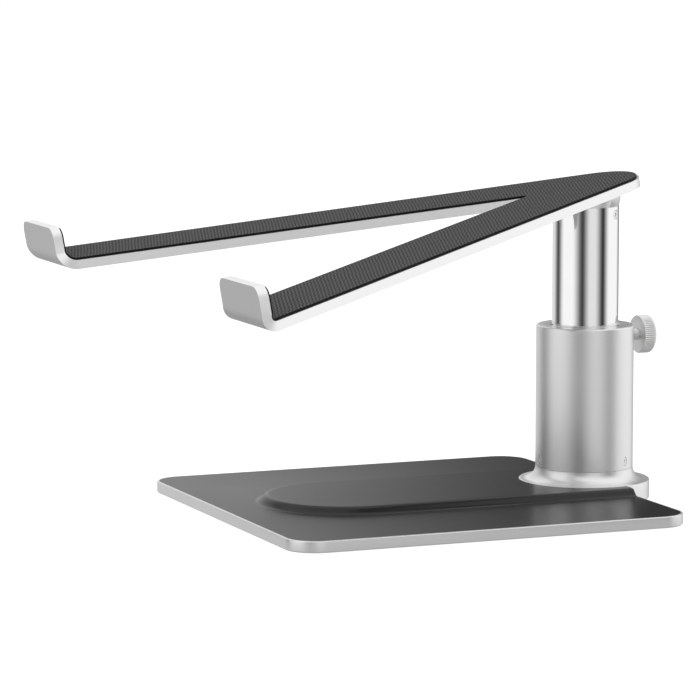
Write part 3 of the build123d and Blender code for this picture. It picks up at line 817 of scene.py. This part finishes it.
rest = {
    "halfAngle": math.radians(29.75),
    "apexR": 22.7 * mm,
    "width": 36.8 * mm,
    "thickness": 4.0 * mm,
    "padThickness": 1.0 * mm,
    "padInset": 1.05 * mm,
    "padLipDrop": 0.9 * mm,
    "crotchR": 1.5 * mm,
    "bendStart": 199.3 * mm,
    "bendInnerR": 3.8 * mm,
    "lipTop": 14.0 * mm,
    "lipCornerR": 5.0 * mm,
    "edgeRounding": 0.4 * mm,
    "padEdgeRounding": 0.25 * mm,
    # deeper than the woven face lie the pad's cut edges, which are coloured with a painted shade
    "padFaceDepth": 0.3 * mm,      # what lies shallower than this is the pad's woven face
    "sidewaysFrom": 0.25,          # how far a cut edge's normal leans to the side
    "arcSteps": 40,
    "armSteps": 60,
    "bendSteps": 14,
    "cornerSteps": 10,
    "acrossSteps": 10,
}
bendHeight = rest["bendInnerR"] - rest["padThickness"]
bendShift = (rest["bendInnerR"] + rest["thickness"] / 2) * turn / 4 * math.tan(rest["halfAngle"])


def ontoRest(x, y, up):
    # from the rest's own tilted frame to the stand's: y' = y cos t - up sin t, z' = z0 + y sin t + up cos t
    return np.stack([
        x,
        y * math.cos(tilt) - up * math.sin(tilt),
        restOrigin.z + y * math.sin(tilt) + up * math.cos(tilt),
    ], -1)


def edgeX(offset, distance):
    # half width of a line beside the arm, offset from the apex's centre, at a distance down the slope
    return (offset + distance * math.sin(rest["halfAngle"])) / math.cos(rest["halfAngle"])


def armStations(inset, crotchR, lipTop):
    # outer and inner edge, station by station: x, distance down the slope, share of the bend, lip height
    half = rest["halfAngle"]
    outer, inner = rest["apexR"] - inset, rest["apexR"] - rest["width"] + inset
    start = rest["bendStart"]
    cornerR = rest["lipCornerR"] - inset
    arc = np.linspace(turn / 4, half, rest["arcSteps"] + 1)
    crotchCentre = (crotchR - inner) / math.sin(half)
    outX, outD = outer * np.cos(arc), -outer * np.sin(arc)
    inX, inD = crotchR * np.cos(arc), crotchCentre - crotchR * np.sin(arc)
    share = np.linspace(0, 1, rest["armSteps"] + 1)[1:]
    armOutD = outD[-1] + (start - outD[-1]) * share
    armInD = inD[-1] + (start - inD[-1]) * share
    outX, outD = np.concatenate([outX, edgeX(outer, armOutD)]), np.concatenate([outD, armOutD])
    inX, inD = np.concatenate([inX, edgeX(inner, armInD)]), np.concatenate([inD, armInD])
    bend = np.linspace(0, 1, rest["bendSteps"] + 1)[1:]
    corner = np.linspace(0, turn / 4, rest["cornerSteps"] + 1)
    cornerIn, cornerUp = cornerR * (1 - np.cos(corner)), lipTop - cornerR * (1 - np.sin(corner))
    right, left = edgeX(outer, start) + bendShift, edgeX(inner, start) + bendShift
    flat, bent, raised = len(outX), len(bend), len(corner)
    outX = np.concatenate([outX, right + (bend - 1) * bendShift, right - cornerIn])
    inX = np.concatenate([inX, left + (bend - 1) * bendShift, left + cornerIn])
    tail = np.full(bent + raised, start)
    outD, inD = np.concatenate([outD, tail]), np.concatenate([inD, tail])
    bend = np.concatenate([np.zeros(flat), bend, np.ones(raised)])
    lip = np.concatenate([np.full(flat + bent, bendHeight), cornerUp])
    return outX, outD, inX, inD, bend, lip


def foldRest(x, distance, bend, lip, depth):
    # flat part: (x, -d, -depth); in the bend the radius is the bend's centre height plus depth,
    # y = -start - r sin a, up = lip - r cos a, where lip is the centre's height until the bend ends
    r = bendHeight + depth
    angle = bend * turn / 4
    y = np.where(bend > 0, -rest["bendStart"] - r * np.sin(angle), -distance)
    up = np.where(bend > 0, lip - r * np.cos(angle), -depth)
    return ontoRest(x, y, up)


def makeRestSheet(name, inset, crotchR, lipTop, shallow, deep, look, stoodFor, rounding):
    # a strip between the two edges, closed round its section, mirrored and welded on the middle line
    outX, outD, inX, inD, bend, lip = armStations(inset, crotchR, lipTop)
    across = np.linspace(0, 1, rest["acrossSteps"] + 1)[:, None]
    x, distance = outX + (inX - outX) * across, outD + (inD - outD) * across
    top = foldRest(x, distance, bend, lip, shallow)
    bottom = foldRest(x, distance, bend, lip, deep)
    loops = np.concatenate([top, bottom[::-1]]).transpose(1, 0, 2)
    rows, columns = loops.shape[:2]
    mirrored = loops * (-1, 1, 1)
    faces = gridFaces(rows, columns, closeColumns=True)
    cap = np.arange((rows - 1) * columns, rows * columns)
    half = columns // 2
    capFaces = np.stack([cap[:half - 1], cap[1:half], cap[::-1][1:half], cap[::-1][:half - 1]], -1)
    faces = np.concatenate([faces, capFaces])
    both = np.concatenate([faces, faces + rows * columns]).tolist()
    points = np.concatenate([loops.reshape(-1, 3), mirrored.reshape(-1, 3)])
    return makePiece(name, points, both, look, "head", stoodFor, bevel=rounding)


def writeWeave(piece):
    # attribute of (x, distance along the unfolded pad, 1 on the pad's face and 0 on its edges); the edges are
    # coloured with a near-black painted shade
    mesh = piece.data
    flat = np.zeros(len(mesh.vertices) * 3)
    mesh.vertices.foreach_get("co", flat)
    x, worldY, worldZ = flat.reshape(-1, 3).T
    rise = worldZ - restOrigin.z
    y = worldY * math.cos(tilt) + rise * math.sin(tilt)
    up = rise * math.cos(tilt) - worldY * math.sin(tilt)
    start, reach = rest["bendStart"], -y - rest["bendStart"]
    angle = np.clip(np.arctan2(reach, bendHeight - up), 0, turn / 4)
    lipRun = np.where(angle >= turn / 4 - 1e-6, up - bendHeight, 0)
    along = np.where(reach > 0, start + bendHeight * angle + lipRun, -y)
    radius = np.hypot(reach, bendHeight - up)
    depth = np.where(reach <= 0, -up, np.where(up < bendHeight, radius - bendHeight, reach - bendHeight))
    face = np.where(depth < rest["padFaceDepth"], 1.0, 0.0)
    weave = mesh.attributes.new("weave", "FLOAT_VECTOR", "POINT")
    weave.data.foreach_set("vector", np.stack([x, along, face], -1).astype(np.float32).ravel())


boss = {
    "flare": 0.899 * mm,
    "flareHeight": 1.6 * mm,
    "spigotR": 11.95 * mm,
    "edge": 0.15 * mm,
    "flareStops": (0, 0.3, 0.55, 0.75, 0.9, 1),
    "segments": 180,
}


def makeBoss():
    # a cylinder cut off by the rest's underside, its top edge flaring out in a hollow curve
    outerR = tubeHigh.x
    angle = np.arange(boss["segments"]) * turn / boss["segments"]
    cosine, sine = np.cos(angle), np.sin(angle)
    under = -rest["padThickness"] - rest["thickness"]

    edge, spigotR = boss["edge"], boss["spigotR"]
    body = [(spigotR, bossLow.z), (spigotR, tubeHigh.z)]
    body += [(outerR - edge, tubeHigh.z), (outerR, tubeHigh.z + edge)]
    lines = [atHeight(r * cosine, r * sine, z) for r, z in body]
    for share in boss["flareStops"]:
        r = outerR + boss["flare"] * (1 - math.sqrt(1 - share ** 2))
        depth = boss["flareHeight"] * (1 - share)
        lines.append(ontoRest(r * cosine, r * sine, np.full_like(cosine, under - depth)))
    # the flare's lowest ring stays above the tube's end, also at the front, where the wedge is thin
    lines[len(body)][:, 2] = np.maximum(lines[len(body)][:, 2], tubeHigh.z + 1.5 * edge)
    points = np.array(lines)
    faces = closedTube(points)
    makePiece("tilted_boss", points, faces, satinLook, "head", "head_boss", sharp=40)


def markCutEdgeHighlights(piece):
    # the cut edges, which get a painted highlight as well as their cut finish, look sideways, or are the
    # lips' tops, above the pad and facing as it does
    mesh = piece.data
    normals, centres = np.zeros((2, len(mesh.polygons), 3), np.float32)
    mesh.polygons.foreach_get("normal", normals.ravel())
    mesh.polygons.foreach_get("center", centres.ravel())
    sideways = np.abs(normals[:, 0]) > rest["sidewaysFrom"]
    above = (centres - np.array(restOrigin)) @ np.array(restNormal) > rest["lipTop"] / 2
    cut = sideways | (above & (normals @ np.array(restNormal) > 0.5))
    cutEdge = mesh.attributes.new("cutEdge", "FLOAT", "FACE")
    cutEdge.data.foreach_set("value", cut.astype(np.float32))


makeBoss()
restPlate = makeRestSheet(
    "rest_plate", 0.0, rest["crotchR"], rest["lipTop"], rest["padThickness"],
    rest["padThickness"] + rest["thickness"], sheetLook, "arm_plate", rest["edgeRounding"],
)
markCutEdgeHighlights(restPlate)
restPad = makeRestSheet(
    "rest_pad", rest["padInset"], rest["crotchR"] + rest["padInset"], rest["lipTop"] - rest["padLipDrop"],
    0.0, rest["padThickness"], padLook, "arm_pad", rest["padEdgeRounding"],
)
writeWeave(restPad)
print("rest ready")


knobLow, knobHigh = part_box("thumbscrew_knob")
studLow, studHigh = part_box("thumbscrew_stud")

knob = {
    "teeth": 56,
    "perTooth": 6,
    "grooveDepth": 0.3 * mm,
    "cornerR": 1.8 * mm,
    "cornerSteps": 10,
    "innerEdge": 0.4 * mm,
    "innerFlat": 0.3 * mm,
    "rimWidth": 0.5 * mm,
    "dish": 0.25 * mm,
    "seatDepth": 4.5 * mm,
}
stud = {"pitch": 0.8 * mm, "threadDepth": 0.4 * mm, "tip": 0.5 * mm, "perPitch": 8, "segments": 48}


def turnedAboutScrew(radii, along, angles, height):
    # a profile turned about the thumbscrew's axis: x = r cos a, z = height + r sin a, y = along
    x, z = radii * np.cos(angles), height + radii * np.sin(angles)
    return np.stack([x, np.broadcast_to(along, x.shape), z], -1)


def makeKnob():
    # straight knurl: the radius dips by grooveDepth (1 - |sin(teeth a / 2)|);
    # profile of (radius, place along the screw, share of that dip)
    outerR, height = (knobHigh.x - knobLow.x) / 2, (knobLow.z + knobHigh.z) / 2
    start, end = knobLow.y, knobHigh.y
    corner, inner = knob["cornerR"], knob["innerEdge"]
    sine, cosine = quarterRound(0, 90, knob["cornerSteps"])
    hubR = (studHigh.x - studLow.x) / 2 + fitGap
    profile = [(hubR, start + knob["seatDepth"], 0), (hubR, start, 0)]
    profile += [(outerR - inner - knob["innerFlat"], start, 0)]
    # one point rounds the inner edge, and one halfway in shapes the dish
    profile += [(outerR - inner * 0.6, start + inner * 0.15, 0.3), (outerR, start + inner, 1)]
    profile += [(outerR, y, 1) for y in np.linspace(start + inner, end - corner, 5)[1:-1]]
    profile += [(outerR - corner * (1 - c), end - corner * (1 - s), c) for s, c in zip(sine, cosine)]
    profile += [(outerR - corner - knob["rimWidth"], end, 0), (outerR * 0.5, end - knob["dish"] * 0.75, 0)]
    profile += [(outerR * 0.15, end - knob["dish"], 0)]
    radii, along, knurl = np.array(profile).T[:, :, None]
    columns = knob["teeth"] * knob["perTooth"]
    angles = np.arange(columns) * turn / columns
    dip = knob["grooveDepth"] * (1 - np.abs(np.sin(angles * knob["teeth"] / 2)))
    points = turnedAboutScrew(radii - dip * knurl, along, angles, height)
    faces = closedTube(points)
    makePiece("knurled_knob", points, faces, satinLook, "thumbscrew", "thumbscrew_knob", 50)


def makeStud():
    # screw thread: r = R - depth |2 frac(y / pitch - a / turn) - 1|, tapering at the tip
    outerR, height = (studHigh.x - studLow.x) / 2, (studLow.z + studHigh.z) / 2
    count = round((studHigh.y - studLow.y) / stud["pitch"] * stud["perPitch"])
    along = np.linspace(studLow.y, studHigh.y, count + 1)[:, None]
    angles = np.arange(stud["segments"]) * turn / stud["segments"]
    wave = np.abs(2 * ((along / stud["pitch"] - angles / turn) % 1) - 1)
    tip = np.clip(stud["tip"] - (along - studLow.y), 0, None)
    radii = outerR - stud["threadDepth"] * wave - tip
    points = turnedAboutScrew(radii, along, angles, height)
    faces = closedTube(points)
    makePiece("threaded_stud", points, faces, satinLook, "thumbscrew", "thumbscrew_stud", 60)


makeKnob()
makeStud()
print("thumbscrew ready")


nodeLooks = {
    "spine_bar": screwLook,
    "underside_sheet": rubberLook,
    "foot_pad": rubberLook,
    "spine_screws": screwLook,
    "foot_screws": screwLook,
    "arm_screws": screwLook,
    "guide_bush": plasticLook,
    "guide_ring": plasticLook,
    "tube_end_plug": plasticLook,
    "clamp_pad": plasticLook,
    "slide_key": screwLook,
    "threaded_insert": brassLook,
}
for nodeName, nodeLook in nodeLooks.items():
    mesh = frame["nodes"][nodeName].data
    mesh.materials.clear()
    mesh.materials.append(nodeLook)


studio = {
    # (degrees anticlockwise from +X, brightness): four soft walls with dark corners between them
    "walls": (
        (-180, 0.74), (-166, 0.76), (-134, 0.08), (-104, 0.97), (-74, 0.97), (-36, 0.06), (-8, 0.78),
        (6, 0.78), (37, 0.04), (66, 0.97), (106, 0.97), (136, 0.22), (154, 0.04), (161.5, 0.95), (180, 0.74),
    ),
    "ceiling": 1.0,
    "ceilingFrom": 0.35,      # sines of the elevations where the ceiling starts and is full
    "ceilingTo": 0.75,
    "ground": 0.56,           # what metal mirrors below the horizon, and further down, in the object's shade
    "groundFrom": 0.14,
    "groundTo": 0.30,
    "shade": 0.26,
    "shadeTo": 0.46,
    "floorLight": 0.92,
    "floorAlbedo": 0.35,
    "floorSize": 9.0,
}
cameraView = {
    "lens": 202.05,
    "sensorWidth": 36,
    "clip": (0.05, 30),
    "azimuth": math.radians(67.674),
    "pitch": math.radians(7.2878),
    "distance": 1.698,
    "aim": Vector((-0.0457, -0.0904, 0.0627)),
}


def makeWorld():
    # camera rays see plain white; everything else sees the studio's walls and ceiling
    world = bpy.data.worlds.new("studio")
    scene.world = world
    look = Look(world)
    direction = look.node("ShaderNodeTexCoord", output=0)
    x, y, z = look.parts(direction)
    heading = y.math("ARCTAN2", x) / turn + 0.5
    stops = [(angle / 360 + 0.5, bright) for angle, bright in studio["walls"]]
    walls = look.node("ShaderNodeValToRGB", {"stops": stops, "between": "EASE"}, {"Fac": heading})
    up = look.ease(z, studio["ceilingFrom"], studio["ceilingTo"])
    down = look.ease(0 - z, studio["groundFrom"], studio["groundTo"])
    steep = look.ease(0 - z, studio["groundTo"], studio["shadeTo"])
    aboveGround = look.blend(up, walls, grey(studio["ceiling"]))
    ground = look.blend(steep, grey(studio["ground"]), grey(studio["shade"]))
    room = look.blend(down, aboveGround, ground)
    seen = look.node("ShaderNodeLightPath", {}, {}, 0)
    colour = look.blend(seen, room, grey(1.0))
    shade = look.node("ShaderNodeBackground", {}, {"Color": colour, "Strength": 1.0})
    look.node("ShaderNodeOutputWorld", {}, {"Surface": shade})


def makeFloor():
    # a plain pale floor, bright enough to read as white; mirrors look past it to the studio's walls
    half = studio["floorSize"] / 2
    mesh = bpy.data.meshes.new("floor")
    corners = [(-half, -half, 0), (half, -half, 0), (half, half, 0), (-half, half, 0)]
    mesh.from_pydata(corners, [], [(0, 1, 2, 3)])
    floor = bpy.data.objects.new("floor", mesh)
    scene.collection.objects.link(floor)
    look = newLook("pale_floor")
    glow = look.node("ShaderNodeEmission", {}, {"Color": grey(1.0), "Strength": studio["floorLight"]})
    paint = look.node("ShaderNodeBsdfDiffuse", {}, {"Color": grey(studio["floorAlbedo"])})
    both = look.node("ShaderNodeAddShader", {}, {0: glow, 1: paint})
    look.node("ShaderNodeOutputMaterial", {}, {"Surface": both})
    mesh.materials.append(look.owner)
    floor.visible_glossy = False


def makeCamera():
    lens = bpy.data.cameras.new("camera")
    lens.lens = cameraView["lens"]
    lens.sensor_width = cameraView["sensorWidth"]
    lens.clip_start, lens.clip_end = cameraView["clip"]
    camera = bpy.data.objects.new("camera", lens)
    scene.collection.objects.link(camera)
    azimuth, pitch = cameraView["azimuth"], cameraView["pitch"]
    back = Vector((
        math.sin(azimuth) * math.cos(pitch),
        -math.cos(azimuth) * math.cos(pitch),
        math.sin(pitch),
    ))
    camera.location = cameraView["aim"] + back * cameraView["distance"]
    camera.rotation_euler = (-back).to_track_quat("-Z", "Y").to_euler()
    scene.camera = camera


makeWorld()
makeFloor()
makeCamera()
scene.view_settings.view_transform = "Standard"
print("studio ready")
